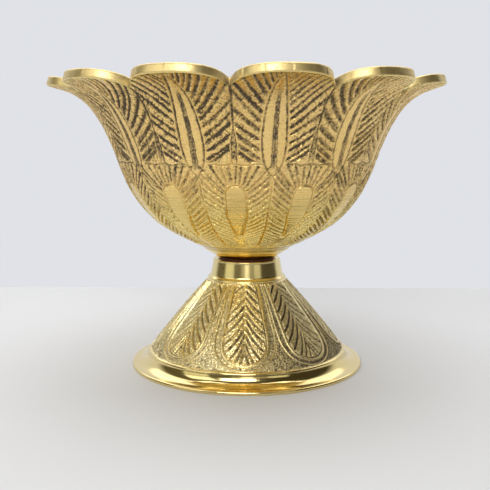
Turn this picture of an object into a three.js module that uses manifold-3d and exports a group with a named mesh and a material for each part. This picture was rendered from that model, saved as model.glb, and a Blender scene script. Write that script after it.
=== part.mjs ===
// Brass diya oil lamp: a petalled bowl that screws onto a hollow conical foot.
// Millimetres, +Z up, origin at the centre of the foot's base ring.
import * as THREE from 'three';
import { mergeVertices } from 'three/addons/utils/BufferGeometryUtils.js';
import Module from 'manifold-3d';

const wasm = await Module();
wasm.setup();

// ---- bowl ----
const PETAL_COUNT = 12;
const PETAL_TIP_RADIUS = 50;
const PETAL_TIP_Z = 71.6; // lower edge of the lip; its upper edge is one wall higher
const BOWL_TURN_DEG = -3.5; // azimuth of one notch, measured from the front (-Y) towards +X
const NOTCH_DEPTH = 7.2; // along the outer surface, from the lobe's edge down to the notch
const NOTCH_SHARPNESS = 2.8; // exponent of the lobe's edge: higher is flatter with a sharper notch
const NOTCH_FADE = 22; // the rows this near the edge follow the lobes
const WALL = 2.2;
const CUP_FLOOR_Z = 34.2;
const CUP_FLOOR_RADIUS = 11.5;
const CUP_FLOOR_SHARE = 0.2; // the inner wall starts this far along the outer curve
const BOSS_RADIUS = 7.8;
const BOSS_BOTTOM_Z = 28.2;

// ---- foot ----
const FOOT_RADIUS = 30.3;
const FOOT_WALL_ACROSS = 2.8; // horizontal thickness of the 2.2 mm cone wall
const BASE_RING_INNER_RADIUS = 26.4;
const FLANGE_EDGE_TOP_Z = 0.7; // the thin bead round the flange's edge
const COVE_START = new THREE.Vector2(29.7, 0.86); // points of the foot's section: radius and height
const COVE_BEND = new THREE.Vector2(26.35, 0.9);
const COVE_TOP = new THREE.Vector2(25.95, 3.5);
const CONE_BOTTOM = new THREE.Vector2(25.7, 3.9);
const CONE_BEND = new THREE.Vector2(15.9, 16.6);
const CONE_TOP = new THREE.Vector2(10.2, 22.45);
const BEAD_BEND = new THREE.Vector2(10.5, 23.3);
const BEAD_TOP = new THREE.Vector2(9.7, 23.3);
const COLLAR_BOTTOM_RADIUS = 9.45;
const COLLAR_BOTTOM_Z = 23.8;
const COLLAR_TOP_RADIUS = 8.8;
const COLLAR_TOP_Z = 27.6;
const COLLAR_CHAMFER = 0.15;
const RECESS_RADIUS = 7.5;
const WEB_TOP_Z = 26.9;
const WEB_BOTTOM_Z = 24.6;
const WEB_HOLE_RADIUS = 3.3;
const NECK_CAVITY_RADIUS = 6.9;
const NECK_CAVITY_BOTTOM_Z = 22.6;
const HOLLOW_FLARE = new THREE.Vector2(21.4, 5.6); // where the hollow's side turns towards the base ring
const HOLLOW_FOOT = new THREE.Vector2(25.2, 0.9);

// ---- screw joint ----
const THREAD_PITCH = 1.0;
const THREAD_DEPTH = 0.6;
const STUD_RADIUS = 3.0;
const STUD_BOTTOM_Z = 17.5;
const STUD_THREAD_TOP_Z = 25.0;
const STUD_TOP_Z = 31.6;
const STUD_FIT = 0.15; // radial room between the stud and the hole in the boss
const THREAD_CLEARANCE = 0.2; // radial room between the stud's thread and the nut's
const NUT_ACROSS_FLATS = 10;
const NUT_HEIGHT = 5;
const RESTING_GAP = 0.3; // between the nut and the web that it is fixed under
const WASHER_RADIUS = 7.0;
const WASHER_HOLE_RADIUS = 3.4;
const WASHER_HEIGHT = 1.0;
const WASHER_GAP = 0.1;

// ---- fineness of the meshes ----
const STEPS_PER_PETAL = 8;
const BOWL_ROWS = 12;
const FOOT_STEPS = 48;
const THREAD_STEPS = 20;
const THREAD_ROWS_PER_TURN = 6;
const RING_STEPS = 40;
const CURVE_STEPS = 4;

const BRASS = { color: 0xc8a55a, roughness: 0.32, metalness: 1.0 };
const POLISHED_BRASS = { color: 0xd8bd6a, roughness: 0.12, metalness: 1.0 };
const DARK_FIBRE = { color: 0x2e2018, roughness: 0.85, metalness: 0.0 };
const PLATED_STEEL = { color: 0xb9b6a8, roughness: 0.35, metalness: 1.0 };

// ---- shared helpers ----

/** A point of an outline, as radius and height. */
function at(radius, z) {
  return new THREE.Vector2(radius, z);
}

/** Turns a geometry made along three.js's +Y axis to stand along +Z. */
function standUp(geometry) {
  return geometry.rotateX(Math.PI / 2);
}

/** Turns an outline of radius and height about the Z axis. */
function revolve(outline, steps) {
  return standUp(new THREE.LatheGeometry(outline, steps));
}

/** The closed solid that a geometry bounds. */
function solidOf(geometry) {
  const bare = geometry.clone();
  bare.deleteAttribute('normal');
  bare.deleteAttribute('uv');
  const merged = mergeVertices(bare);
  return new wasm.Manifold(new wasm.Mesh({
    numProp: 3,
    vertProperties: new Float32Array(merged.getAttribute('position').array),
    triVerts: new Uint32Array(merged.getIndex().array),
  }));
}

/** The geometry of a solid's surface. */
function geometryOf(solid) {
  const surface = solid.getMesh();
  const geometry = new THREE.BufferGeometry();
  geometry.setAttribute('position', new THREE.BufferAttribute(surface.vertProperties, 3));
  geometry.setIndex(new THREE.BufferAttribute(surface.triVerts, 1));
  geometry.computeVertexNormals();
  return geometry;
}

/** A named piece of the lamp. */
function piece(name, geometry, finish) {
  const mesh = new THREE.Mesh(geometry, new THREE.MeshStandardMaterial(finish));
  mesh.name = name;
  return mesh;
}

// ---- petal bowl ----

/** The bowl's outer surface in section, from the boss to a petal's tip. */
function bowlOuterCurve() {
  return new THREE.SplineCurve([
    at(BOSS_RADIUS, BOSS_BOTTOM_Z),
    at(12.6, 31.2),
    at(19.9, 35.0),
    at(25.1, 38.9),
    at(29.5, 44.7),
    at(32.3, 50.6),
    at(34.4, 56.4),
    at(37.1, 62.3),
    at(40.4, 67.0),
    at(44.7, 70.0),
    at(PETAL_TIP_RADIUS, PETAL_TIP_Z),
  ]);
}

/** A point of the bowl's wall at a share of the outer curve's length, moved inwards by depth. */
function bowlWallPoint(curve, share, depth) {
  const point = curve.getPointAt(share);
  const along = curve.getTangentAt(share);
  return at(point.x - depth * along.y, point.y + depth * along.x);
}

/** How far the lobed edge lies below a petal's tip at an azimuth, along the surface. */
function notchDrop(azimuth) {
  const petalAngle = (2 * Math.PI) / PETAL_COUNT;
  const fromNotch = THREE.MathUtils.euclideanModulo(azimuth, petalAngle) / petalAngle;
  const fromCentre = Math.abs(2 * fromNotch - 1);
  return NOTCH_DEPTH * Math.pow(fromCentre, NOTCH_SHARPNESS);
}

/** The bowl's section: each entry gives a place on the wall, or a fixed point of the boss and floor. */
function bowlSection(curve) {
  const length = curve.getLength();
  const fixed = (radius, z) => ({ point: at(radius, z) });
  const onWall = (share, depth) => ({
    share,
    depth,
    follow: THREE.MathUtils.clamp(1 - ((1 - share) * length) / NOTCH_FADE, 0, 1),
  });
  const section = [
    fixed(0, STUD_TOP_Z + RESTING_GAP),
    fixed(STUD_RADIUS + STUD_FIT, STUD_TOP_Z + RESTING_GAP),
    fixed(STUD_RADIUS + STUD_FIT, BOSS_BOTTOM_Z),
  ];
  for (let row = 0; row <= BOWL_ROWS; row += 1) {
    section.push(onWall(row / BOWL_ROWS, 0));
  }
  for (let row = BOWL_ROWS; row >= 0; row -= 1) {
    section.push(onWall(1 - (1 - CUP_FLOOR_SHARE) * (1 - row / BOWL_ROWS), WALL));
  }
  section.push(fixed(CUP_FLOOR_RADIUS, CUP_FLOOR_Z), fixed(0, CUP_FLOOR_Z));
  return section;
}

function petalBowl() {
  const curve = bowlOuterCurve();
  const length = curve.getLength();
  const section = bowlSection(curve);
  const outline = section.map((entry) => entry.point ?? bowlWallPoint(curve, entry.share, entry.depth));
  const geometry = new THREE.LatheGeometry(outline, PETAL_COUNT * STEPS_PER_PETAL);
  const positions = geometry.getAttribute('position');
  for (let index = 0; index < positions.count; index += 1) {
    const entry = section[index % section.length];
    const step = Math.floor(index / section.length) % (PETAL_COUNT * STEPS_PER_PETAL);
    const azimuth = (step * 2 * Math.PI) / (PETAL_COUNT * STEPS_PER_PETAL);
    if (entry.point) {
      continue;
    }
    const drop = notchDrop(azimuth) * entry.follow;
    const point = bowlWallPoint(curve, entry.share - drop / length, entry.depth);
    positions.setXYZ(index, point.x * Math.sin(azimuth), point.y, point.x * Math.cos(azimuth));
  }
  const bowl = piece('petal_bowl', standUp(geometry), BRASS);
  bowl.rotation.z = THREE.MathUtils.degToRad(BOWL_TURN_DEG);
  return bowl;
}

// ---- foot ----

/** The foot's section: flange, engraved cone, bead, collar, web and hollow inside. */
function footOutline() {
  const outline = new THREE.Path();
  outline.moveTo(FOOT_RADIUS, 0);
  outline.lineTo(FOOT_RADIUS, FLANGE_EDGE_TOP_Z);
  outline.lineTo(COVE_START.x, COVE_START.y);
  outline.quadraticCurveTo(COVE_BEND.x, COVE_BEND.y, COVE_TOP.x, COVE_TOP.y);
  outline.lineTo(CONE_BOTTOM.x, CONE_BOTTOM.y);
  outline.quadraticCurveTo(CONE_BEND.x, CONE_BEND.y, CONE_TOP.x, CONE_TOP.y);
  outline.quadraticCurveTo(BEAD_BEND.x, BEAD_BEND.y, BEAD_TOP.x, BEAD_TOP.y);
  outline.lineTo(COLLAR_BOTTOM_RADIUS, COLLAR_BOTTOM_Z);
  outline.lineTo(COLLAR_TOP_RADIUS, COLLAR_TOP_Z - COLLAR_CHAMFER);
  outline.lineTo(COLLAR_TOP_RADIUS - COLLAR_CHAMFER, COLLAR_TOP_Z);
  outline.lineTo(RECESS_RADIUS, COLLAR_TOP_Z);
  outline.lineTo(RECESS_RADIUS, WEB_TOP_Z);
  outline.lineTo(WEB_HOLE_RADIUS, WEB_TOP_Z);
  outline.lineTo(WEB_HOLE_RADIUS, WEB_BOTTOM_Z);
  outline.lineTo(NECK_CAVITY_RADIUS, WEB_BOTTOM_Z);
  outline.lineTo(NECK_CAVITY_RADIUS, NECK_CAVITY_BOTTOM_Z);
  outline.quadraticCurveTo(CONE_BEND.x - FOOT_WALL_ACROSS, CONE_BEND.y, HOLLOW_FLARE.x, HOLLOW_FLARE.y);
  outline.lineTo(HOLLOW_FOOT.x, HOLLOW_FOOT.y);
  outline.lineTo(BASE_RING_INNER_RADIUS, 0);
  outline.lineTo(FOOT_RADIUS, 0);
  return outline.getPoints(CURVE_STEPS);
}

function footCone() {
  return piece('foot_cone', revolve(footOutline(), FOOT_STEPS), POLISHED_BRASS);
}

// ---- screw joint ----

/**
 * A rod with a rounded right-hand thread: its radius depends only on how far a point is
 * past the helix, so the thread maps onto itself when it is screwed up or down.
 */
function threadedRod(crestRadius, bottomZ, topZ) {
  const height = topZ - bottomZ;
  const rows = Math.round((height / THREAD_PITCH) * THREAD_ROWS_PER_TURN);
  const geometry = standUp(new THREE.CylinderGeometry(1, 1, height, THREAD_STEPS, rows));
  geometry.translate(0, 0, (bottomZ + topZ) / 2);
  const positions = geometry.getAttribute('position');
  for (let index = 0; index < positions.count; index += 1) {
    const x = positions.getX(index);
    const y = positions.getY(index);
    const z = positions.getZ(index);
    const turns = z / THREAD_PITCH - Math.atan2(y, x) / (2 * Math.PI);
    const radius = crestRadius - (THREAD_DEPTH / 2) * (1 - Math.cos(2 * Math.PI * turns));
    positions.setXYZ(index, x * radius, y * radius, z);
  }
  return solidOf(geometry);
}

function threadedStud() {
  const join = 0.5;
  const thread = threadedRod(STUD_RADIUS, STUD_BOTTOM_Z, STUD_THREAD_TOP_Z);
  const shank = solidOf(revolve([
    at(0, STUD_THREAD_TOP_Z - join),
    at(STUD_RADIUS - THREAD_DEPTH, STUD_THREAD_TOP_Z - join),
    at(STUD_RADIUS, STUD_THREAD_TOP_Z),
    at(STUD_RADIUS, STUD_TOP_Z),
    at(0, STUD_TOP_Z),
  ], RING_STEPS));
  return piece('threaded_stud', geometryOf(thread.add(shank)), BRASS);
}

function neckNut() {
  const topZ = WEB_BOTTOM_Z - RESTING_GAP;
  const bottomZ = topZ - NUT_HEIGHT;
  const cornerRadius = NUT_ACROSS_FLATS / 2 / Math.cos(Math.PI / 6);
  const chamfer = 0.5;
  const margin = 1;
  const hexagon = standUp(new THREE.CylinderGeometry(cornerRadius, cornerRadius, NUT_HEIGHT, 6));
  hexagon.translate(0, 0, (topZ + bottomZ) / 2);
  const chamfers = solidOf(revolve([
    at(0, bottomZ),
    at(cornerRadius - chamfer, bottomZ),
    at(cornerRadius + margin, bottomZ + chamfer + margin),
    at(cornerRadius + margin, topZ - chamfer - margin),
    at(cornerRadius - chamfer, topZ),
    at(0, topZ),
  ], RING_STEPS));
  const bore = threadedRod(STUD_RADIUS + THREAD_CLEARANCE, bottomZ - margin, topZ + margin);
  const nut = solidOf(hexagon).intersect(chamfers).subtract(bore);
  return piece('neck_nut', geometryOf(nut), PLATED_STEEL);
}

function seatWasher() {
  const bottomZ = WEB_TOP_Z + WASHER_GAP;
  const topZ = bottomZ + WASHER_HEIGHT;
  const ring = revolve([
    at(WASHER_HOLE_RADIUS, bottomZ),
    at(WASHER_RADIUS, bottomZ),
    at(WASHER_RADIUS, topZ),
    at(WASHER_HOLE_RADIUS, topZ),
    at(WASHER_HOLE_RADIUS, bottomZ),
  ], RING_STEPS);
  return piece('seat_washer', ring, DARK_FIBRE);
}

const lamp = new THREE.Group();
lamp.name = 'diya_oil_lamp';
lamp.add(petalBowl(), threadedStud(), seatWasher(), footCone(), neckNut());

export default lamp;
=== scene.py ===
import math

import bpy
import numpy as np
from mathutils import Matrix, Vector

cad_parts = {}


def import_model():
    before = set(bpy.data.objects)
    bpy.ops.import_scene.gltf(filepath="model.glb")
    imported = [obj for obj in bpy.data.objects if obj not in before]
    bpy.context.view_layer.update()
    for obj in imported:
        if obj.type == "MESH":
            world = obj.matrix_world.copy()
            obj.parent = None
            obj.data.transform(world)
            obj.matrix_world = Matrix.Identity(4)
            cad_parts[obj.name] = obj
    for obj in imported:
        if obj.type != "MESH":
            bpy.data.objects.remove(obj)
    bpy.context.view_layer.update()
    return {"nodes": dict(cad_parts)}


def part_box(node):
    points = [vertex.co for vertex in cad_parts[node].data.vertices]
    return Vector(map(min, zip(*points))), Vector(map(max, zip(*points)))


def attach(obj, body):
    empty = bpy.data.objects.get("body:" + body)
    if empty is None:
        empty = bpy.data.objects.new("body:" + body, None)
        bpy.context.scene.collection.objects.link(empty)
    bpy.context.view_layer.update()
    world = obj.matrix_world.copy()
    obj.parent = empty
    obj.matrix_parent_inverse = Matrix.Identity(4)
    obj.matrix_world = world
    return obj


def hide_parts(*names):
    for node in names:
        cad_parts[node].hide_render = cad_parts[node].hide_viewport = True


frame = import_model()

# A brass diya: a petalled, engraved bowl screwed onto an engraved conical foot.
# The lamp's and the camera's lengths are in millimetres, the floor's and the lights' in metres.
# Azimuth 0 is the front (-Y), and it grows towards +X.
MM = 0.001
SEED = 12
FIELDS = ("patina", "polish", "inside", "matt", "filed", "golden_and_painted_reflection")  # what a casting's material reads

# ---- bowl ----
PETALS = 12
PETAL_ANGLE = 2 * math.pi / PETALS
BOWL_TURN = math.radians(-3.5)  # azimuth of one notch
NOTCH_DEPTH = 7.2
NOTCH_SHARPNESS = 2.8
NOTCH_FADE = 22.0
WALL = 2.2
CUP_FLOOR_Z = 34.2
CUP_FLOOR_RADIUS = 11.5
STUD_HOLE_RADIUS = 3.15
STUD_HOLE_TOP_Z = 31.9
ENGRAVED_FROM_Z = 32.0  # the engraving starts here, above the turned bottom
LEDGE_Z = 31.6  # the upper of two turned lines; the bottom below it is polished
LOW_LEDGE_Z = 30.6
LIP_BEVEL = 0.22
PETAL_FOOT_Z = 52.0
SPEAR_FOOT_Z = 50.0
SPEAR_LENGTH = 21.0
PLUME_TOP_Z = 53.0
TONGUE_TOP_Z = 46.2
TONGUE_HALF_WIDTH = 2.05
PETAL_CUT = 0.36  # strength of the cuts, which bowl_piece turns into millimetres
PLUME_CUT = 0.32
LIP_FLATS_PER_PETAL = 7
BOWL_STATIONS = [
    (7.8, 28.2), (12.6, 31.2), (19.9, 35.0), (25.1, 38.9), (29.5, 44.7), (32.3, 50.6),
    (34.4, 56.4), (37.1, 62.3), (40.4, 67.0), (44.7, 70.0), (50.0, 71.6),
]
BOWL_COLUMNS_PER_PETAL = 112
BOWL_OUTER_ROWS = 450
BOWL_INNER_ROWS = 70

# ---- foot ----
LEAVES = 8
LEAF_ANGLE = 2 * math.pi / LEAVES
CONE_BOTTOM = (25.7, 3.9)
CONE_BEND = (15.9, 16.6)
CONE_TOP = (10.2, 22.45)
FOOT_WALL_ACROSS = 2.8
COVE_START = (29.7, 0.86)
COVE_BEND = (26.35, 0.9)
COVE_TOP = (25.95, 3.5)
COLLAR_BOTTOM = (9.4, 23.8)
COLLAR_TOP_RADIUS = 8.8
RECESS_RADIUS = 7.5
WEB_TOP_Z = 26.9
WEB_BOTTOM_Z = 24.6
WEB_HOLE_RADIUS = 3.3
NECK_CAVITY_RADIUS = 6.9
NECK_CAVITY_BOTTOM_Z = 22.6
HOLLOW_FLARE = (21.4, 5.6)
HOLLOW_FOOT = (25.2, 0.9)
BASE_RING_INNER_RADIUS = 26.4
FOOT_COLUMNS_PER_LEAF = 150
CONE_ROWS = 220


def smooth(t):
    """A smooth rise from 0 to 1 as t goes from 0 to 1."""
    t = np.clip(t, 0.0, 1.0)
    return t * t * (3.0 - 2.0 * t)


def groove(distance, half_width):
    """The share of full depth at a distance from a groove's line."""
    return smooth(1.0 - np.abs(distance) / half_width)


def blur(field, rounds):
    """Softens a field of rows and columns that closes on itself along the columns."""
    for _ in range(rounds):
        field = (np.roll(field, 1, 1) + field + np.roll(field, -1, 1)) / 3.0
        padded = np.pad(field, ((1, 1), (0, 0)), mode="edge")
        field = (padded[:-2] + padded[1:-1] + padded[2:]) / 3.0
    return field


def grain(rng, shape, rounds):
    """Random speckle with a mean of 0 and a spread of 1."""
    field = blur(rng.standard_normal(shape), rounds)
    return field / field.std()


def sand(rng, shape):
    """Fine speckle of two sizes, with a spread of about 1."""
    return 0.6 * grain(rng, shape, 0) + 0.8 * grain(rng, shape, 1)


class Profile:
    """A smooth section curve measured by its arc length."""

    def __init__(self, points):
        self.points = points
        steps = np.hypot(*np.diff(points, axis=0).T)
        self.arc = np.concatenate([[0.0], np.cumsum(steps)])
        self.length = self.arc[-1]
        slope = np.gradient(points, self.arc, axis=0)
        self.tangent = slope / np.linalg.norm(slope, axis=1, keepdims=True)

    def at(self, arc, depth=0.0):
        """Radius and height at an arc length, moved into the wall by depth."""
        radius = np.interp(arc, self.arc, self.points[:, 0])
        height = np.interp(arc, self.arc, self.points[:, 1])
        along_r = np.interp(arc, self.arc, self.tangent[:, 0])
        along_z = np.interp(arc, self.arc, self.tangent[:, 1])
        return radius - depth * along_z, height + depth * along_r

    def arc_at_height(self, height):
        """The arc length at a height."""
        return np.interp(height, self.points[:, 1], self.arc)


def catmull_rom(stations, per_span=80):
    """A uniform Catmull-Rom spline through stations, as many points for each span."""
    known = np.array([stations[0], *stations, stations[-1]], float)
    share = np.linspace(0.0, 1.0, per_span, endpoint=False)[:, None]
    spans = []
    for i in range(len(stations) - 1):
        p0, p1, p2, p3 = known[i:i + 4]
        v0, v1 = (p2 - p0) / 2, (p3 - p1) / 2
        spans.append((2 * p1 - 2 * p2 + v0 + v1) * share ** 3
                     + (-3 * p1 + 3 * p2 - 2 * v0 - v1) * share ** 2 + v0 * share + p1)
    return np.vstack([*spans, known[-1:]])


def quadratic(start, bend, end, count):
    """A quadratic curve as count points, its start left out."""
    share = np.linspace(0.0, 1.0, count + 1)[1:, None]
    start, bend, end = (np.array(p, float) for p in (start, bend, end))
    return (1 - share) ** 2 * start + 2 * share * (1 - share) * bend + share ** 2 * end


def line(start, end, count):
    """A straight stretch as count points, its start left out."""
    share = np.linspace(0.0, 1.0, count + 1)[1:, None]
    start, end = np.array(start, float), np.array(end, float)
    return start + share * (end - start)


def ring_mesh(name, radius, height, azimuth, closed, values):
    """A mesh of rings about the axis, one ring for each row of the arrays.
    closed joins the last ring to the first; otherwise each end is closed to a point on the axis."""
    rows, columns = radius.shape
    x = radius * np.sin(azimuth)
    y = -radius * np.cos(azimuth)
    points = np.stack([x, y, height], axis=-1).reshape(-1, 3)
    index = np.arange(rows * columns).reshape(rows, columns)
    lower = index if closed else index[:-1]
    upper = np.roll(index, -1, 0) if closed else index[1:]
    quads = np.stack([lower, np.roll(lower, -1, 1), np.roll(upper, -1, 1), upper], -1).reshape(-1, 4)
    corners = [quads.ravel()]
    sizes = [np.full(len(quads), 4)]
    if not closed:
        first, last = rows * columns, rows * columns + 1
        points = np.vstack([points, [0, 0, height[0].mean()], [0, 0, height[-1].mean()]])
        start = np.stack([np.roll(index[0], -1), index[0], np.full(columns, first)], -1)
        end = np.stack([index[-1], np.roll(index[-1], -1), np.full(columns, last)], -1)
        corners += [start.ravel(), end.ravel()]
        sizes += [np.full(2 * columns, 3)]
        values = {key: np.concatenate([field.ravel(), [field[0, 0], field[-1, 0]]])
                  for key, field in values.items()}
    corners, sizes = np.concatenate(corners), np.concatenate(sizes)
    mesh = bpy.data.meshes.new(name)
    mesh.vertices.add(len(points))
    mesh.vertices.foreach_set("co", (points * MM).astype(np.float32).ravel())
    mesh.loops.add(len(corners))
    mesh.loops.foreach_set("vertex_index", corners.astype(np.int32))
    mesh.polygons.add(len(sizes))
    starts = np.concatenate([[0], np.cumsum(sizes)[:-1]])
    mesh.polygons.foreach_set("loop_start", starts.astype(np.int32))
    mesh.polygons.foreach_set("use_smooth", np.ones(len(sizes), bool))
    for key, field in values.items():
        attribute = mesh.attributes.new(key, "FLOAT", "POINT")
        attribute.data.foreach_set("value", field.astype(np.float32).ravel())
    mesh.update(calc_edges=True)
    mesh.validate()
    piece = bpy.data.objects.new(name, mesh)
    bpy.context.scene.collection.objects.link(piece)
    return piece


# ---- engraving of the bowl ----

def cut_line(distance, half_width, soft=0.2):
    """A flat-bottomed cut: 1 inside the half width, falling to 0 over a soft edge."""
    return smooth((half_width - np.abs(distance)) / soft + 0.5)


def stroke(across_x, along_s, angle, bend, half_width, ragged, soft=0.2):
    """A burin's stroke that leaves a point at an angle: thin at its start, then full."""
    along = across_x * math.cos(angle) + along_s * math.sin(angle)
    across = -across_x * math.sin(angle) + along_s * math.cos(angle) - bend * along * along
    width = half_width * (0.45 + 0.55 * smooth(along / 1.3))
    return cut_line(across + ragged, width, soft) * smooth(along / 0.4 + 0.5)


def spear_half_width(z):
    """Half the width of the long leaf on a petal, from its foot to its tip."""
    share = np.clip((z - SPEAR_FOOT_Z) / SPEAR_LENGTH, 0.0, 1.0)
    return 2.75 * (1 - (1 - share) ** 7) * (1 - share ** 3) ** 0.6


def engrave_petal(rng, x, s, z, half, edge, arc_of, ragged):
    """Cuts one upper petal. x is across from its centre line and s along the wall, half is the
    petal's half width and edge the arc length of its lip. Gives the cut, its darkness and the matting."""
    cut = np.zeros_like(x)
    dark = np.zeros_like(x)
    foot_x, lean = rng.uniform(-0.5, 0.1), rng.uniform(-1.1, -0.3)
    centre = foot_x + lean * np.clip((z - PETAL_FOOT_Z) / 19.0, 0, 1)
    leaf = spear_half_width(z) * rng.uniform(0.94, 1.06)
    from_centre = np.abs(x - centre)
    border = half - np.abs(x)
    split = 0.55 * smooth((61.5 - z) / 4)
    worn = np.clip(0.8 + 2.2 * ragged, 0.35, 1.0)
    field = smooth((z - 53.2) / 0.4 + 0.5 * ragged) * smooth((from_centre - leaf - 0.4) / 0.3)
    field *= smooth((border - split - 0.2 + ragged) / 0.35) * smooth((edge - s - 0.35 + ragged) / 0.5)
    for side, count, wide in ((-1, 11, 0.46), (1, 13, 0.40)):
        for i in range(-1, count + 2):
            share = min(i / (count - 1), 1.0)
            share = share if share < 0 else 1 - (1 - share) ** 1.35
            start_z = 53.9 + 16.3 * share + rng.uniform(-0.15, 0.15)
            angle = math.radians(28 + 42 * share * abs(share) + rng.uniform(-2.5, 2.5))
            start_x = float(spear_half_width(np.array(start_z))) + 0.4
            if i >= count:
                start_z, angle = 71.0, math.radians(77 + 7 * (i - count))
                start_x = 0.9 - 0.5 * (i - count)
            width = wide * rng.uniform(0.75, 1.05) * (1 - 0.35 * smooth((start_z - 66) / 4))
            middle = foot_x + lean * (start_z - PETAL_FOOT_Z) / 19.0
            reach = side * (x - middle) - start_x
            one = stroke(reach, s - arc_of(start_z), angle, 0.012, width, ragged) * field
            cut = np.maximum(cut, one * rng.uniform(0.8, 1.0))
            dark = np.maximum(dark, one ** 1.6 * worn * rng.uniform(0.65, 1.0))
    outline = cut_line(from_centre - leaf + 0.8 * ragged, 0.24)
    outline = outline * smooth((z - 49.8) / 0.6) * smooth((71.6 - z) / 0.6)
    seam_width = 0.14 + 0.15 * smooth((z - 60) / 5)
    seam = cut_line(border - split + ragged, seam_width) * smooth((z - 52.8) / 1.0)
    between = smooth((split - border) / 0.3) * smooth((z - 53.5) / 1.0)
    vein_width = 0.62 - 0.36 * np.clip((z - 52) / 18.0, 0, 1)
    on_vein = smooth((z - 51.0) / 2.0) * smooth((69.6 - z) / 3.0)
    vein = smooth((vein_width - np.abs(x - centre - 0.1) + 0.5 * ragged) / 0.35) * on_vein
    vein_line = cut_line(np.abs(x - centre - 0.1) - vein_width + ragged, 0.13) * on_vein
    cut = np.maximum.reduce([cut, 0.9 * outline, seam, 0.5 * vein, 0.6 * vein_line, 0.3 * between])
    dark = np.maximum.reduce([dark, 0.75 * worn * outline, 0.95 * worn * seam, 0.62 * vein, 0.75 * vein_line,
                              0.4 * between])
    pillow = 0.25 * (from_centre < leaf) * np.clip(from_centre / np.maximum(leaf, 0.1), 0, 1) ** 2
    matt = np.maximum(field, between) + 0.25 * (from_centre < leaf) * (z > 50)
    return np.maximum(cut, pillow), dark, np.clip(matt, 0, 1)


def tongue_distance(x, s, z, arc_of):
    """Signed distance from the smooth tongue at the heart of a plume."""
    half = TONGUE_HALF_WIDTH * np.clip((z - 35.4) / 5.4, 0, 1) ** 0.8
    top = arc_of(TONGUE_TOP_Z)
    side = np.abs(x) - half
    cap = np.hypot(x, s - top) - TONGUE_HALF_WIDTH
    return np.where(s > top, cap, side)


def engrave_plume(rng, x, s, z, half, arc_of, ragged):
    """Cuts one plume of the lower row, which stands under a notch. Gives the cut, its darkness,
    its field and its smooth tongue."""
    cut = np.zeros_like(x)
    dark = np.zeros_like(x)
    tongue = tongue_distance(x, s, z, arc_of)
    low = arc_of(ENGRAVED_FROM_Z)
    top = arc_of(PLUME_TOP_Z) + 0.15 * np.cos(x * 1.3)
    border = half - np.abs(x)
    field = smooth((tongue - 0.55) / 0.3) * smooth((border - 0.3 + ragged) / 0.3)
    field *= smooth((top - s - 0.1 + ragged) / 0.4) * smooth((z - ENGRAVED_FROM_Z) / 0.3)
    sides, crown = 18, 5
    for side in (-1, 1):
        for i in range(sides + crown):
            if i < sides:
                share = (i / (sides - 1)) ** 1.2
                start_x, start_s = 1.9 - 1.9 * (1 - share) ** 2, low + (arc_of(45.8) - low) * share
                angle = math.radians(27 + 10 * share)
            else:
                turn = math.radians(90) * (i - sides + 0.8) / (crown - 0.2)
                share = 1.0
                start_x = 2.4 * math.cos(turn)
                start_s = arc_of(TONGUE_TOP_Z) + 2.4 * math.sin(turn)
                angle = math.radians(36) + math.radians(54) * (i - sides + 0.8) / (crown - 0.2)
            angle += math.radians(rng.uniform(-2, 2))
            width = rng.uniform(0.8, 1.2) * (0.14 + 0.13 * share)
            soft = 0.1 + 0.08 * share
            one = stroke(side * x - start_x, s - start_s, angle, 0.01, width, 0.7 * ragged, soft) * field
            if i == sides + crown - 1 and side > 0:
                continue
            cut = np.maximum(cut, one * rng.uniform(0.75, 1.0))
            dark = np.maximum(dark, one * rng.uniform(0.6, 0.95))
    around = cut_line(tongue - 0.3 + 0.6 * ragged, 0.2) * smooth((z - 34.8) / 0.6)
    seam = cut_line(border + 0.8 * ragged, 0.2)
    seam = seam * smooth((49.6 - z) / 1.0) * smooth((z - ENGRAVED_FROM_Z) / 0.5)
    arch = cut_line(s - top + 1.2 * ragged, 0.17) * smooth((border - 2.4) / 0.4)
    cross = cut_line(border - 0.75 * np.abs(s - arc_of(50.2)) + 0.6 * ragged, 0.2)
    cross *= smooth((z - 47.4) / 0.6) * smooth((51.2 - z) / 0.6)
    cut = np.maximum.reduce([cut, around, 0.9 * seam, 0.7 * arch, 0.9 * cross])
    dark = np.maximum.reduce([dark, 0.6 * around, 0.75 * seam, 0.7 * arch, 0.85 * cross])
    smooth_tongue = smooth((0.1 - tongue) / 0.3) * smooth((z - 35.5) / 1.5) * smooth((50.0 - z) / 1.0)
    return cut, dark, field, smooth_tongue


def lathe_rings(rng, z, low, high, pitch):
    """Shallow turned lines between two heights or arc lengths, a little uneven."""
    marks = np.zeros_like(z)
    height = low
    while height < high:
        marks = np.maximum(marks, rng.uniform(0.3, 1.0) * groove(z - height, pitch * 0.45))
        height += pitch * rng.uniform(0.75, 1.3)
    return marks


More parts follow.
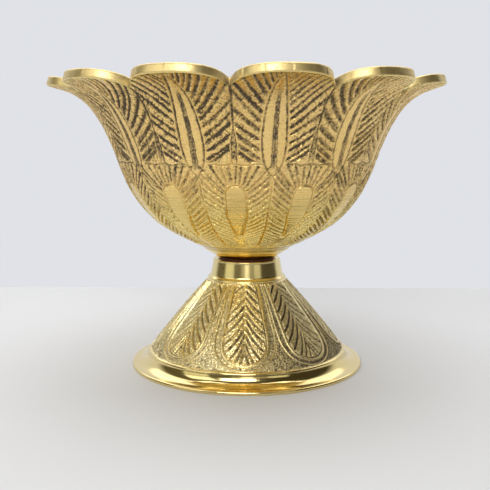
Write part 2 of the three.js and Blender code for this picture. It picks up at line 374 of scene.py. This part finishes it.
def engrave_bowl(rng, azimuth, arc, z, radius, profile, edge):
    """The cut, the darkness, the matting and the smooth tongues over the bowl's whole outer wall."""
    cut, dark, matt, tongues = (np.zeros(arc.shape) for _ in range(4))
    ragged = 0.05 * grain(rng, arc.shape, 1) + 0.03 * grain(rng, arc.shape, 4)
    arc_of = profile.arc_at_height
    turn = (azimuth - BOWL_TURN)[0]
    half = PETAL_ANGLE / 2 * radius
    for k in range(PETALS):
        petal = (turn - (k + 0.5) * PETAL_ANGLE + math.pi) % (2 * math.pi) - math.pi
        here = np.where(np.abs(petal) <= PETAL_ANGLE / 2 + 1e-6)[0]
        x = petal[here] * radius[:, here]
        upper = engrave_petal(rng, x, arc[:, here], z[:, here], half[:, here], edge[:, here],
                              arc_of, ragged[:, here])
        for whole, one, strength in zip((cut, dark, matt), upper, (PETAL_CUT, 1.0, 0.8)):
            whole[:, here] = np.maximum(whole[:, here], strength * one)
        plume = (turn - k * PETAL_ANGLE + math.pi) % (2 * math.pi) - math.pi
        here = np.where(np.abs(plume) <= PETAL_ANGLE / 2 + 1e-6)[0]
        x = plume[here] * radius[:, here]
        lower = engrave_plume(rng, x, arc[:, here], z[:, here], half[:, here], arc_of, ragged[:, here])
        for whole, one, strength in zip((cut, dark, matt, tongues), lower, (PLUME_CUT, 1.0, 1.0, 1.0)):
            whole[:, here] = np.maximum(whole[:, here], strength * one)
    return cut, dark, matt, tongues


def lip_facets(rng, azimuth):
    """How far the file has cut each flat of the lip back, and its slope across the wall."""
    flats = PETALS * LIP_FLATS_PER_PETAL
    borders = np.sort((np.arange(flats) + rng.uniform(-0.3, 0.3, flats)) * 2 * math.pi / flats)
    number = np.searchsorted(borders, azimuth % (2 * math.pi)) % flats
    middle = rng.uniform(-0.10, 0.10, flats)[number]
    lean = rng.uniform(-0.12, 0.12, flats)[number]
    yaw = rng.uniform(-0.9, 0.9, flats)[number]
    offset = (azimuth % (2 * math.pi)) - borders[number - 1]
    return 0.12 + middle + yaw * (offset - math.pi / flats), lean


def bowl_piece():
    """The bowl: an engraved outside, a filed lip, a turned inside and a boss with a blind hole."""
    rng = np.random.default_rng(SEED)
    profile = Profile(catmull_rom(BOWL_STATIONS))
    columns = PETALS * BOWL_COLUMNS_PER_PETAL
    around = BOWL_TURN + np.arange(columns) * 2 * math.pi / columns
    share = np.abs(2 * (((around - BOWL_TURN) / PETAL_ANGLE) % 1.0) - 1)
    drop = NOTCH_DEPTH * share ** NOTCH_SHARPNESS
    filed, lean = lip_facets(rng, around)
    edge = profile.length - drop

    rise = np.linspace(0.0, 1.0, BOWL_OUTER_ROWS)[:, None]
    rise = 0.7 * rise + 0.3 * rise ** 2
    follow = np.clip(1 - (1 - rise) * profile.length / NOTCH_FADE, 0, 1)
    arc = profile.length * rise - (drop + LIP_BEVEL + filed.clip(0)) * follow
    base_radius, base_z = profile.at(arc)
    azimuth = np.broadcast_to(around, arc.shape)
    cut, dark, matt, tongues = engrave_bowl(rng, azimuth, arc, base_z, base_radius,
                                            profile, np.broadcast_to(edge, arc.shape))
    speckle = sand(rng, arc.shape)
    blotch = grain(rng, arc.shape, 14)
    stipple = smooth((speckle - 0.35) / 0.8) * matt
    stipple *= 1 - 0.8 * smooth((base_z - 68.6) / 1.0)
    lathe = lathe_rings(rng, base_z, 34.0, 71.0, 0.55)
    polish = smooth((LEDGE_Z - base_z) / 0.2)
    ledge = cut_line(base_z - LEDGE_Z, 0.13) + 0.8 * cut_line(base_z - LOW_LEDGE_Z, 0.1)
    ledge += 0.8 * smooth((base_z - LOW_LEDGE_Z) / 0.15) * polish
    burr = np.clip(blur(cut, 3) - cut, 0, 1)
    rounding = blur(cut, 7)
    crisp = smooth((44 - base_z) / 5)
    grit = (0.3 + 0.7 * matt) * (1 - polish) * (1 - 0.8 * crisp)
    depth = 0.05 + 0.75 * cut + 0.6 * rounding + 0.08 * stipple * (1 - crisp) + 0.03 * speckle * grit
    depth += 0.045 * lathe * (1 - matt) * (1 - polish) + 0.2 * ledge
    depth = np.maximum(depth - 0.35 * burr, 0.0)
    depth *= 1 + 1.4 * crisp * (1 - polish)
    # How strongly the cuts and matting darken: more towards the top, with random blotches, then scaled by
    # azimuth as painted shade, so the lower bowl is darker away from the front and the upper bowl darkest at
    # the front left.
    cut_darkness_and_side_shade = 0.15 + 0.35 * smooth((base_z - 37) / 10) + 0.5 * smooth((base_z - 47) / 12)
    low_side_shade = 1.6 - 0.8 * np.cos(azimuth)
    high_side_shade = 0.84 + 0.4 * np.cos(azimuth + 0.95)
    upper = smooth((base_z - 48) / 8)
    cut_darkness_and_side_shade = np.clip((cut_darkness_and_side_shade + 0.13 * blotch) * (low_side_shade * (1 - upper) + high_side_shade * upper), 0.1, 1.2)
    # Painted shade, added straight into the patina: the upper bowl darker at the front left and front right,
    # the lower bowl darker away from the front.
    left, right = smooth(2 * np.cos(azimuth + 1.05) - 1), smooth(2 * np.cos(azimuth - 1.0) - 1)
    tarnish_and_side_shade = upper * (0.14 * left + 0.1 * right)
    tarnish_and_side_shade += 0.14 * (1 - upper) * smooth(2.4 * (1 - np.cos(azimuth))) * (1 - polish)
    halo = blur(dark, 6) * smooth((speckle - 0.15) / 0.5)
    patina = np.clip(cut_darkness_and_side_shade * (dark + 0.6 * stipple + 0.5 * halo) + 0.25 * lathe * tongues + tarnish_and_side_shade, 0, 1)
    patina = np.maximum(patina, 0.4 * np.clip(ledge, 0, 1) * (1 - polish * (base_z < 30.3)))
    polish = np.maximum(polish, 0.12 * tongues)
    # Painted reflection: a golden band just under the lip, standing in for the gold body and foot mirrored
    # there.
    under_lip_reflection = smooth((2.6 - (edge - arc)) / 1.2) * smooth((base_z - 68.6) / 1.0)
    # Golden, smoother metal towards the turned bottom, where the golden colour is partly a painted
    # reflection of the lit foot, and in the painted band under the lip.
    golden_and_painted_reflection = np.maximum(smooth((50 - base_z) / 12), 0.9 * under_lip_reflection)
    depth[0] = 0.0
    outer = profile.at(arc, depth)

    bands = []
    for part in np.linspace(0.0, 1.0, 6):
        inset = LIP_BEVEL + part * (WALL - 2 * LIP_BEVEL)
        at = edge - filed.clip(0) - lean * (part - 0.5)
        bands.append(profile.at(np.minimum(at, profile.length), inset))
    inner_edge = edge - LIP_BEVEL - filed.clip(0)
    fall = np.linspace(1.0, 0.0, BOWL_INNER_ROWS)[:, None]
    start = 0.2 * profile.length
    inner_arc = start + (inner_edge - start) * fall
    marks = lathe_rings(rng, inner_arc, start, profile.length, 1.1)
    inner = profile.at(inner_arc, WALL - 0.02 * marks)

    def ring(radius, z):
        return np.full((1, columns), float(radius)), np.full((1, columns), float(z))

    boss_radius, boss_z = BOWL_STATIONS[0]
    boss = [
        ring(0.6, STUD_HOLE_TOP_Z), ring(STUD_HOLE_RADIUS - 0.1, STUD_HOLE_TOP_Z),
        ring(STUD_HOLE_RADIUS, STUD_HOLE_TOP_Z - 0.1), ring(STUD_HOLE_RADIUS, boss_z + 0.1),
        ring(STUD_HOLE_RADIUS + 0.1, boss_z), ring(boss_radius - 0.1, boss_z),
    ]
    lip = [(r[None], z[None]) for r, z in bands]
    cup_floor = [ring(CUP_FLOOR_RADIUS * part, CUP_FLOOR_Z) for part in (1, 0.6, 0.3)]
    parts = [*boss, outer, *lip, inner, *cup_floor, ring(0.6, CUP_FLOOR_Z)]
    radius = np.vstack([p[0] for p in parts])
    height = np.vstack([p[1] for p in parts])
    first = len(boss)
    last = first + len(arc)
    values = {key: np.zeros(radius.shape) for key in FIELDS}
    values["patina"][first:last] = patina
    values["polish"][:first] = 1
    values["polish"][first:last] = polish
    values["matt"][first:last] = matt
    values["golden_and_painted_reflection"][:last] = 1
    values["golden_and_painted_reflection"][first:last] = golden_and_painted_reflection
    values["filed"][last:last + len(bands)] = 1
    # The lip darkens towards each notch, with a little random spread.
    darker_towards_notches = share ** 5 * np.clip(0.55 + 0.25 * grain(rng, (len(bands), columns), 2), 0, 1)
    values["patina"][last:last + len(bands)] = darker_towards_notches
    values["inside"][last + len(bands):] = 1
    spread = np.broadcast_to(around, radius.shape)
    piece = ring_mesh("engraved_bowl", radius, height, spread, False, values)
    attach(piece, "bowl")
    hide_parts("petal_bowl")
    return piece


# ---- engraving of the foot ----

def outline_distance(azimuth, z, radius, arc, half_angle, low, shoulder):
    """Signed distance from a leaf's outline: straight sides above the shoulder, a round end below."""
    below = np.clip((shoulder - z) / (shoulder - low), 0, None)
    field = (azimuth / half_angle) ** 2 + below ** 2.6 - 1
    across = np.gradient(field, axis=1) / (np.gradient(azimuth, axis=1) * radius)
    along = np.gradient(field, axis=0) / np.gradient(arc, axis=0)
    return field / np.maximum(np.hypot(across, along), 1e-3)


def engrave_leaf(rng, azimuth, z, radius, arc, ragged):
    """Cuts one leaf of the foot with the ground beside it. Gives the cut, its darkness and the matting."""
    inner = outline_distance(azimuth, z, radius, arc, math.radians(15.8), 5.4, 11.5)
    outer = outline_distance(azimuth, z, radius, arc, math.radians(21.3), 4.3, 13.0)
    x = azimuth * radius
    cut = np.zeros_like(x)
    dark = np.zeros_like(x)
    field = smooth((-inner - 0.4) / 0.3)
    above = 1.3  # arc length for each millimetre of height beyond the cone's top
    top_z = 22.4
    veins = 11
    for side in (-1, 1):
        for i in range(veins + 1):
            share = i / veins
            start_z = 25.8 - 17.0 * share + rng.uniform(-0.08, 0.08)
            angle = -math.radians(52 + 24 * share + 8 * share ** 4 + rng.uniform(-1.5, 1.5))
            base = np.interp(min(start_z, top_z), z[:, 0], arc[:, 0]) + max(start_z - top_z, 0) * above
            width = rng.uniform(0.22, 0.28)
            one = stroke(side * x - 0.12, arc - base, angle, 0.034, width, ragged, 0.3) * field
            cut = np.maximum(cut, one * rng.uniform(0.85, 1.0))
            dark = np.maximum(dark, one ** 1.5 * rng.uniform(0.8, 1.0))
    ridge = cut_line(inner + 0.6 * ragged, 0.17, 0.2)
    rim = cut_line(outer + 0.6 * ragged, 0.15, 0.2)
    ground = smooth((outer - 0.25) / 0.25)
    moat = cut_line(inner + 0.42 + 0.5 * ragged, 0.12)
    band = smooth((inner - 0.3) / 0.25) * (1 - ground)
    cut = np.maximum.reduce([cut, 0.9 * moat, 0.5 * band, 0.4 * ground]) * (1 - ridge) * (1 - rim)
    dark = np.maximum.reduce([dark, 0.7 * moat, 0.4 * band, 0.25 * ground]) * (1 - ridge) * (1 - rim)
    matt = np.maximum(ground, 0.75 * band) * (1 - rim)
    return cut, dark, np.maximum(matt, 0.4 * field)


def engrave_foot(rng, azimuth, z, radius, arc):
    """The cut, the darkness and the matting over the whole cone."""
    cut, dark, matt = (np.zeros(arc.shape) for _ in range(3))
    ragged = 0.03 * grain(rng, arc.shape, 1)
    for k in range(LEAVES):
        leaf = (azimuth[0] - k * LEAF_ANGLE + math.pi) % (2 * math.pi) - math.pi
        here = np.where(np.abs(leaf) <= LEAF_ANGLE / 2 + 1e-6)[0]
        here = here[np.argsort(leaf[here])]
        local = np.broadcast_to(leaf[here], (len(arc), len(here)))
        made = engrave_leaf(rng, local, z[:, here], radius[:, here], arc[:, here], ragged[:, here])
        for whole, one in zip((cut, dark, matt), made):
            whole[:, here] = np.maximum(whole[:, here], one)
    return cut, dark, matt


def foot_piece():
    """The foot: polished flange, engraved cone, bead, polished collar, web and hollow."""
    rng = np.random.default_rng(SEED + 1)
    columns = LEAVES * FOOT_COLUMNS_PER_LEAF
    around = np.arange(columns) * 2 * math.pi / columns
    foot_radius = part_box("foot_cone")[1].x / MM
    collar_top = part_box("foot_cone")[1].z / MM
    flange = np.vstack([
        [[foot_radius - 0.15, 0.0]],
        quadratic((foot_radius - 0.15, 0), (foot_radius, 0), (foot_radius, 0.2), 3),
        quadratic((foot_radius, 0.2), (foot_radius, 0.75), (foot_radius - 0.2, 0.8), 6),
        quadratic((foot_radius - 0.2, 0.8), (29.9, 0.86), COVE_START, 4),
        quadratic(COVE_START, COVE_BEND, COVE_TOP, 40),
        quadratic(COVE_TOP, (25.92, 3.9), CONE_BOTTOM, 4),
    ])
    cone = Profile(np.vstack([[CONE_BOTTOM], quadratic(CONE_BOTTOM, CONE_BEND, CONE_TOP, 400)]))
    collar_edge = (COLLAR_TOP_RADIUS, collar_top - 0.35)
    recess_edge = (RECESS_RADIUS, collar_top - 0.2)
    neck = np.vstack([
        quadratic((10.05, 22.5), (10.45, 22.75), (10.05, 23.05), 8),
        quadratic((10.05, 23.05), (9.9, 23.3), (9.7, 23.3), 6),
        quadratic((9.7, 23.3), (9.45, 23.35), COLLAR_BOTTOM, 6),
        line(COLLAR_BOTTOM, collar_edge, 14),
        quadratic(collar_edge, (8.85, collar_top - 0.02), (8.6, collar_top), 5),
        quadratic((8.6, collar_top), (RECESS_RADIUS, collar_top), recess_edge, 4),
    ])
    hole, cavity = WEB_HOLE_RADIUS, (NECK_CAVITY_RADIUS, NECK_CAVITY_BOTTOM_Z)
    hollow = np.vstack([
        line(recess_edge, (RECESS_RADIUS, WEB_TOP_Z), 3),
        line((RECESS_RADIUS, WEB_TOP_Z), (hole + 0.1, WEB_TOP_Z), 6),
        line((hole, WEB_TOP_Z - 0.1), (hole, WEB_BOTTOM_Z + 0.1), 4),
        line((hole + 0.1, WEB_BOTTOM_Z), (NECK_CAVITY_RADIUS, WEB_BOTTOM_Z), 6),
        line((NECK_CAVITY_RADIUS, WEB_BOTTOM_Z), cavity, 4),
        quadratic(cavity, (CONE_BEND[0] - FOOT_WALL_ACROSS, CONE_BEND[1]), HOLLOW_FLARE, 40),
        line(HOLLOW_FLARE, HOLLOW_FOOT, 12),
        line(HOLLOW_FOOT, (BASE_RING_INNER_RADIUS, 0.0), 3),
    ])
    rise = np.linspace(0.0, 1.0, CONE_ROWS)[1:-1, None]
    arc = np.broadcast_to(cone.length * rise, (CONE_ROWS - 2, columns))
    base_radius, base_z = cone.at(arc)
    azimuth = np.broadcast_to(around, arc.shape)
    cut, dark, matt = engrave_foot(rng, azimuth, base_z, base_radius, arc)
    border = smooth(arc / 0.6) * smooth((cone.length - arc - 0.25) / 0.5)
    speckle = sand(rng, arc.shape)
    blotch = grain(rng, arc.shape, 14)
    stipple = smooth((speckle - 0.1) / 0.8) * matt
    burr = np.clip(blur(cut, 3) - cut, 0, 1)
    depth = 0.05 + 0.66 * cut + 0.16 * stipple + 0.02 * speckle * (0.25 + 0.75 * matt) - 0.08 * burr
    depth = np.maximum(depth, 0.0) * border
    cone_radius, cone_height = cone.at(arc, depth)
    # The right (+X) side of the cone is darker, by azimuth: partly real patina, partly painted shade of the
    # side turned away from the left-front light.
    tarnish_and_side_shade = smooth(0.15 + 1.0 * np.sin(azimuth - 0.1))
    cut_darkness_and_side_shade = np.clip(0.62 + 0.75 * tarnish_and_side_shade + 0.12 * blotch, 0.3, 1.4)
    halo = blur(dark, 6) * smooth((speckle - 0.15) / 0.5)
    patina = np.clip(cut_darkness_and_side_shade * (dark + 0.65 * stipple + 0.4 * halo) + 0.24 * tarnish_and_side_shade, 0, 1) * border

    def rows(outline):
        shape = (len(outline), columns)
        return np.broadcast_to(outline[:, :1], shape), np.broadcast_to(outline[:, 1:], shape)

    parts = [rows(flange), (cone_radius, cone_height), rows(neck), rows(hollow)]
    radius = np.vstack([p[0] for p in parts])
    height = np.vstack([p[1] for p in parts])
    first, last = len(flange), len(flange) + len(arc)
    hidden = last + len(neck)
    values = {key: np.zeros(radius.shape) for key in FIELDS}
    values["polish"][:first] = 1
    values["golden_and_painted_reflection"][:first] = 0.8
    values["polish"][last:hidden] = 1
    values["patina"][first:last] = patina
    values["matt"][first:last] = matt
    values["inside"][hidden:] = 1
    spread = np.broadcast_to(around, radius.shape)
    piece = ring_mesh("engraved_foot", radius, height, spread, True, values)
    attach(piece, "foot")
    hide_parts("foot_cone")
    return piece


# ---- materials ----

class Nodes:
    """Short calls to build one material's node tree."""

    def __init__(self, name):
        self.material = bpy.data.materials.new(name)
        self.material.use_nodes = True
        self.tree = self.material.node_tree
        self.shader = self.tree.nodes["Principled BSDF"]

    def add(self, kind, **settings):
        node = self.tree.nodes.new(kind)
        for key, value in settings.items():
            setattr(node, key, value)
        return node

    def link(self, source, target):
        self.tree.links.new(source, target)

    def attribute(self, name):
        return self.add("ShaderNodeAttribute", attribute_name=name).outputs["Fac"]

    def place(self, scale=(1, 1, 1)):
        where = self.add("ShaderNodeTexCoord").outputs["Object"]
        mapping = self.add("ShaderNodeMapping")
        mapping.inputs["Scale"].default_value = scale
        self.link(where, mapping.inputs["Vector"])
        return mapping.outputs["Vector"]

    def noise(self, vector, scale, detail=3.0, roughness=0.55):
        node = self.add("ShaderNodeTexNoise")
        node.inputs["Scale"].default_value = scale
        node.inputs["Detail"].default_value = detail
        node.inputs["Roughness"].default_value = roughness
        self.link(vector, node.inputs["Vector"])
        return node.outputs["Fac"]

    def ranged(self, value, low, high, to_low=0.0, to_high=1.0):
        node = self.add("ShaderNodeMapRange")
        node.inputs["From Min"].default_value = low
        node.inputs["From Max"].default_value = high
        node.inputs["To Min"].default_value = to_low
        node.inputs["To Max"].default_value = to_high
        self.link(value, node.inputs["Value"])
        return node.outputs["Result"]

    def math(self, operation, a, b):
        node = self.add("ShaderNodeMath", operation=operation)
        for socket, value in zip(node.inputs, (a, b)):
            if isinstance(value, (int, float)):
                socket.default_value = value
            else:
                self.link(value, socket)
        return node.outputs["Value"]

    def mix_colour(self, share, a, b):
        node = self.add("ShaderNodeMix", data_type="RGBA")
        self.link(share, node.inputs["Factor"])
        for socket, value in ((node.inputs[6], a), (node.inputs[7], b)):
            if isinstance(value, tuple):
                socket.default_value = (*value, 1.0)
            else:
                self.link(value, socket)
        return node.outputs[2]

    def mix_value(self, share, a, b):
        node = self.add("ShaderNodeMix", data_type="FLOAT")
        self.link(share, node.inputs["Factor"])
        for socket, value in ((node.inputs[2], a), (node.inputs[3], b)):
            if isinstance(value, (int, float)):
                socket.default_value = value
            else:
                self.link(value, socket)
        return node.outputs[0]

    def bump(self, height, strength, distance):
        node = self.add("ShaderNodeBump")
        node.inputs["Strength"].default_value = strength
        node.inputs["Distance"].default_value = distance
        self.link(height, node.inputs["Height"])
        self.link(node.outputs["Normal"], self.shader.inputs["Normal"])


def engraved_brass(name, satin, bright, amber, golden):
    """Brass that is satin where it is engraved, mirror-like where it is polished, dark in the cuts."""
    nodes = Nodes(name)
    everywhere = nodes.place()
    patina = nodes.attribute("patina")
    polish = nodes.attribute("polish")
    inside = nodes.attribute("inside")
    matt = nodes.attribute("matt")
    filed = nodes.attribute("filed")
    golden_and_painted_reflection = nodes.attribute("golden_and_painted_reflection")
    cloud = nodes.ranged(nodes.noise(everywhere, 90, 4), 0.35, 0.65)
    fine = nodes.noise(everywhere, 3600, 3)
    turning = nodes.noise(nodes.place((8, 8, 2600)), 1.0, 2)
    colour = nodes.mix_colour(cloud, satin, amber)
    # Golden tint on the bottom, the boss, the flange and the band under the lip: partly the metal's own
    # colour, partly a painted reflection.
    colour = nodes.mix_colour(nodes.math("MULTIPLY", golden_and_painted_reflection, 0.8), colour, golden)
    mottle = nodes.ranged(nodes.noise(everywhere, 620, 3, 0.7), 0.42, 0.62)
    colour = nodes.mix_colour(nodes.math("MULTIPLY", mottle, 0.3), colour, golden)
    gleam = nodes.math("MULTIPLY", polish, nodes.ranged(golden_and_painted_reflection, 0, 1, 1.0, 0.25))
    colour = nodes.mix_colour(nodes.math("MAXIMUM", gleam, filed), colour, bright)
    colour = nodes.mix_colour(nodes.math("MULTIPLY", inside, 0.9), colour, bright)
    specks = nodes.math("MULTIPLY", nodes.ranged(fine, 0.52, 0.68), nodes.ranged(matt, 0, 1, 0.15, 0.62))
    specks = nodes.math("MULTIPLY", specks, nodes.ranged(polish, 0, 1, 1, 0))
    soot = nodes.math("MULTIPLY", patina, nodes.ranged(fine, 0.3, 0.7, 0.7, 1.15))
    soot = nodes.math("MAXIMUM", nodes.ranged(soot, 0.08, 0.8), specks)
    streak = nodes.ranged(nodes.noise(nodes.place((70, 70, 3200)), 1.0, 2), 0.45, 0.75)
    streak = nodes.math("MULTIPLY", streak, nodes.ranged(matt, 0, 1, 0.6, 0.1))
    streak = nodes.math("MULTIPLY", streak, nodes.ranged(golden_and_painted_reflection, 0, 0.6, 0.15, 1))
    streak = nodes.math("MULTIPLY", streak, nodes.ranged(golden_and_painted_reflection, 0.7, 1, 1, 0.25))
    streak = nodes.math("MULTIPLY", streak, nodes.ranged(polish, 0, 0.5, 1, 0))
    streak = nodes.math("MULTIPLY", streak, nodes.ranged(nodes.math("ADD", filed, inside), 0, 1, 1, 0))
    soot = nodes.math("MAXIMUM", soot, streak)
    colour = nodes.mix_colour(soot, colour, (0.082, 0.058, 0.033))
    nodes.link(colour, nodes.shader.inputs["Base Color"])
    nodes.link(nodes.ranged(soot, 0, 1, 1.0, 0.35), nodes.shader.inputs["Metallic"])
    rough = nodes.mix_value(nodes.math("POWER", golden_and_painted_reflection, 3.0), nodes.ranged(fine, 0.3, 0.7, 0.18, 0.3), 0.1)
    rough = nodes.mix_value(filed, rough, 0.4)
    rough = nodes.mix_value(soot, rough, 0.62)
    rough = nodes.mix_value(polish, rough, nodes.ranged(golden_and_painted_reflection, 0, 1, 0.19, 0.12))
    rough = nodes.mix_value(inside, rough, nodes.ranged(turning, 0.3, 0.7, 0.25, 0.4))
    nodes.link(rough, nodes.shader.inputs["Roughness"])
    relief = nodes.math("ADD", nodes.math("MULTIPLY", turning, 0.6), nodes.math("MULTIPLY", fine, 2.0))
    relief = nodes.math("MULTIPLY", relief, nodes.ranged(polish, 0, 1, 1.0, 0.06))
    relief = nodes.math("MULTIPLY", relief, nodes.ranged(filed, 0, 1, 1.0, 0.3))
    relief = nodes.math("MULTIPLY", relief, nodes.ranged(golden_and_painted_reflection, 0.5, 1, 1.0, 0.4))
    nodes.bump(relief, 0.45, 0.00006)
    return nodes.material


def machined_metal(name, base, worn, roughness, mark_scale):
    """A machined metal with fine tool marks and a little tarnish."""
    nodes = Nodes(name)
    tarnish_and_side_shade = nodes.ranged(nodes.noise(nodes.place(), 700, 4), 0.4, 0.7)
    marks = nodes.noise(nodes.place(mark_scale), 1.0, 2)
    nodes.link(nodes.mix_colour(tarnish_and_side_shade, base, worn), nodes.shader.inputs["Base Color"])
    nodes.shader.inputs["Metallic"].default_value = 1.0
    nodes.link(nodes.ranged(tarnish_and_side_shade, 0, 1, roughness, roughness + 0.2), nodes.shader.inputs["Roughness"])
    nodes.bump(marks, 0.3, 0.00003)
    return nodes.material


def fibre_with_gap_shade(name):
    """Dark red-brown pressed fibre: partly its own oil-stained colour, partly painted shade of the narrow
    gap between the bowl's boss and the collar.
    """
    nodes = Nodes(name)
    flecks = nodes.noise(nodes.place((1, 1, 4)), 2200, 4)
    stain = nodes.ranged(flecks, 0.35, 0.7)
    # Painted shade: the dark red-brown stands partly for the shade of the gap between the boss and the
    # collar.
    colour = nodes.mix_colour(stain, (0.09, 0.022, 0.007), (0.20, 0.055, 0.016))
    nodes.link(colour, nodes.shader.inputs["Base Color"])
    nodes.link(nodes.ranged(flecks, 0.3, 0.7, 0.4, 0.6), nodes.shader.inputs["Roughness"])
    nodes.bump(flecks, 0.6, 0.00006)
    return nodes.material


def paint(thing, material):
    thing.data.materials.clear()
    thing.data.materials.append(material)


# ---- stage, lights and camera ----

def floor():
    size, back = 4.0, 0.1
    mesh = bpy.data.meshes.new("floor")
    corners = [(-size, -size, 0), (size, -size, 0), (size, back, 0), (-size, back, 0)]
    mesh.from_pydata(corners, [], [(0, 1, 2, 3)])
    plane = bpy.data.objects.new("floor", mesh)
    bpy.context.scene.collection.objects.link(plane)
    nodes = Nodes("pale_floor")
    nodes.shader.inputs["Base Color"].default_value = (0.645, 0.648, 0.66, 1)
    nodes.shader.inputs["Roughness"].default_value = 0.7
    paint(plane, nodes.material)


def area_light(name, azimuth, elevation, distance, width, height, power, colour=(1, 1, 1)):
    """A soft box that faces the lamp, placed by its direction from the lamp in degrees."""
    light = bpy.data.lights.new(name, "AREA")
    light.shape = "RECTANGLE"
    light.size, light.size_y = width, height
    light.energy = power
    light.color = colour
    box = bpy.data.objects.new(name, light)
    a, e = math.radians(azimuth), math.radians(elevation)
    away = Vector((math.sin(a) * math.cos(e), -math.cos(a) * math.cos(e), math.sin(e)))
    box.location = Vector((0, 0, 0.045)) + away * distance
    box.rotation_euler = (-away).to_track_quat("-Z", "Y").to_euler()
    box.visible_camera = False
    bpy.context.scene.collection.objects.link(box)


def world():
    """A pale room: bright behind the lamp and straight overhead, dim in front of it."""
    scene = bpy.context.scene
    scene.world = scene.world or bpy.data.worlds.new("studio")
    scene.world.use_nodes = True
    tree = scene.world.node_tree
    tree.nodes.clear()
    where = tree.nodes.new("ShaderNodeTexCoord")
    split = tree.nodes.new("ShaderNodeSeparateXYZ")
    tree.links.new(where.outputs["Generated"], split.inputs["Vector"])

    def fade(direction, low, high, to_low=0.0, to_high=1.0):
        node = tree.nodes.new("ShaderNodeMapRange")
        node.interpolation_type = "SMOOTHSTEP"
        node.inputs["From Min"].default_value = low
        node.inputs["From Max"].default_value = high
        node.inputs["To Min"].default_value = to_low
        node.inputs["To Max"].default_value = to_high
        tree.links.new(split.outputs[direction], node.inputs["Value"])
        return node

    backness = fade("Y", 0.22, 0.52)
    height = fade("Z", 0.9, 0.99, 0.0, 0.8)
    side = fade("X", -0.2, 0.6, 1.0, 0.3)
    ceiling = tree.nodes.new("ShaderNodeMath")
    ceiling.operation = "MULTIPLY"
    tree.links.new(height.outputs["Result"], ceiling.inputs[0])
    tree.links.new(side.outputs["Result"], ceiling.inputs[1])
    most = tree.nodes.new("ShaderNodeMath")
    most.operation = "MAXIMUM"
    tree.links.new(backness.outputs["Result"], most.inputs[0])
    tree.links.new(ceiling.outputs["Value"], most.inputs[1])
    shade = tree.nodes.new("ShaderNodeMix")
    shade.data_type = "RGBA"
    dim = tree.nodes.new("ShaderNodeMix")
    dim.data_type = "RGBA"
    dim.inputs[6].default_value = (0.03, 0.022, 0.012, 1)
    dim.inputs[7].default_value = (0.11, 0.10, 0.06, 1)
    tree.links.new(side.outputs["Result"], dim.inputs["Factor"])
    tree.links.new(dim.outputs[2], shade.inputs[6])
    shade.inputs[7].default_value = (0.745, 0.76, 0.80, 1)
    tree.links.new(most.outputs["Value"], shade.inputs["Factor"])
    background = tree.nodes.new("ShaderNodeBackground")
    tree.links.new(shade.outputs[2], background.inputs["Color"])
    output = tree.nodes.new("ShaderNodeOutputWorld")
    tree.links.new(background.outputs["Background"], output.inputs["Surface"])


def camera():
    """The viewpoint: in front, at four fifths of the lamp's height, looking slightly down."""
    distance, height, aside = 202.9, 59.1, -0.46
    azimuth, pitch = math.radians(1.3), math.radians(7.9)
    data = bpy.data.cameras.new("camera")
    data.sensor_width = 36.0
    data.lens = 57.16
    eye = bpy.data.objects.new("camera", data)
    ahead = Vector((-math.sin(azimuth), math.cos(azimuth), 0))
    right = Vector((math.cos(azimuth), math.sin(azimuth), 0))
    eye.location = (-ahead * distance + right * aside + Vector((0, 0, height))) * MM
    aim = ahead * math.cos(pitch) - Vector((0, 0, math.sin(pitch)))
    eye.rotation_euler = aim.to_track_quat("-Z", "Y").to_euler()
    bpy.context.scene.collection.objects.link(eye)
    bpy.context.scene.camera = eye


def main():
    bpy.context.scene.view_settings.view_transform = "Standard"
    camera()
    floor()
    world()
    area_light("left_card", -57, 9, 0.75, 0.42, 0.22, 0.22, (0.98, 1.0, 0.86))
    area_light("left_box", -57, 33, 0.75, 0.42, 0.34, 0.65)
    area_light("right_box", 36, 11, 0.85, 0.34, 0.18, 0.15, (0.98, 1.0, 0.88))
    area_light("front_slot", 1.7, 14, 0.9, 0.2, 0.3, 0.2)
    area_light("front_card", 3, 12, 1.0, 0.7, 0.22, 0.15, (1.0, 0.97, 0.86))
    area_light("front_lamp", -9, 33, 0.9, 0.55, 0.36, 3.9)
    area_light("top_box", 180, 89, 0.85, 1.0, 0.6, 4.5)
    area_light("back_left_box", -146, 42, 1.0, 0.8, 0.6, 1.5)
    area_light("back_right_box", 152, 42, 1.0, 0.8, 0.6, 1.2)

    bowl = bowl_piece()
    foot = foot_piece()
    paint(bowl, engraved_brass("bowl_brass", (0.99, 0.695, 0.285), (0.81, 0.63, 0.28),
                               (0.92, 0.62, 0.22), (1.0, 0.80, 0.28)))
    paint(foot, engraved_brass("foot_brass", (1.0, 0.86, 0.48), (0.85, 0.69, 0.32),
                               (0.95, 0.77, 0.36), (0.80, 0.60, 0.23)))
    stud_brass = machined_metal("stud_brass", (0.72, 0.52, 0.24), (0.40, 0.26, 0.12), 0.28, (6, 6, 4000))
    nut_steel = machined_metal("nut_steel", (0.55, 0.53, 0.49), (0.30, 0.27, 0.23), 0.34, (900, 900, 900))
    paint(frame["nodes"]["threaded_stud"], stud_brass)
    paint(frame["nodes"]["neck_nut"], nut_steel)
    paint(frame["nodes"]["seat_washer"], fibre_with_gap_shade("washer_fibre"))


main()
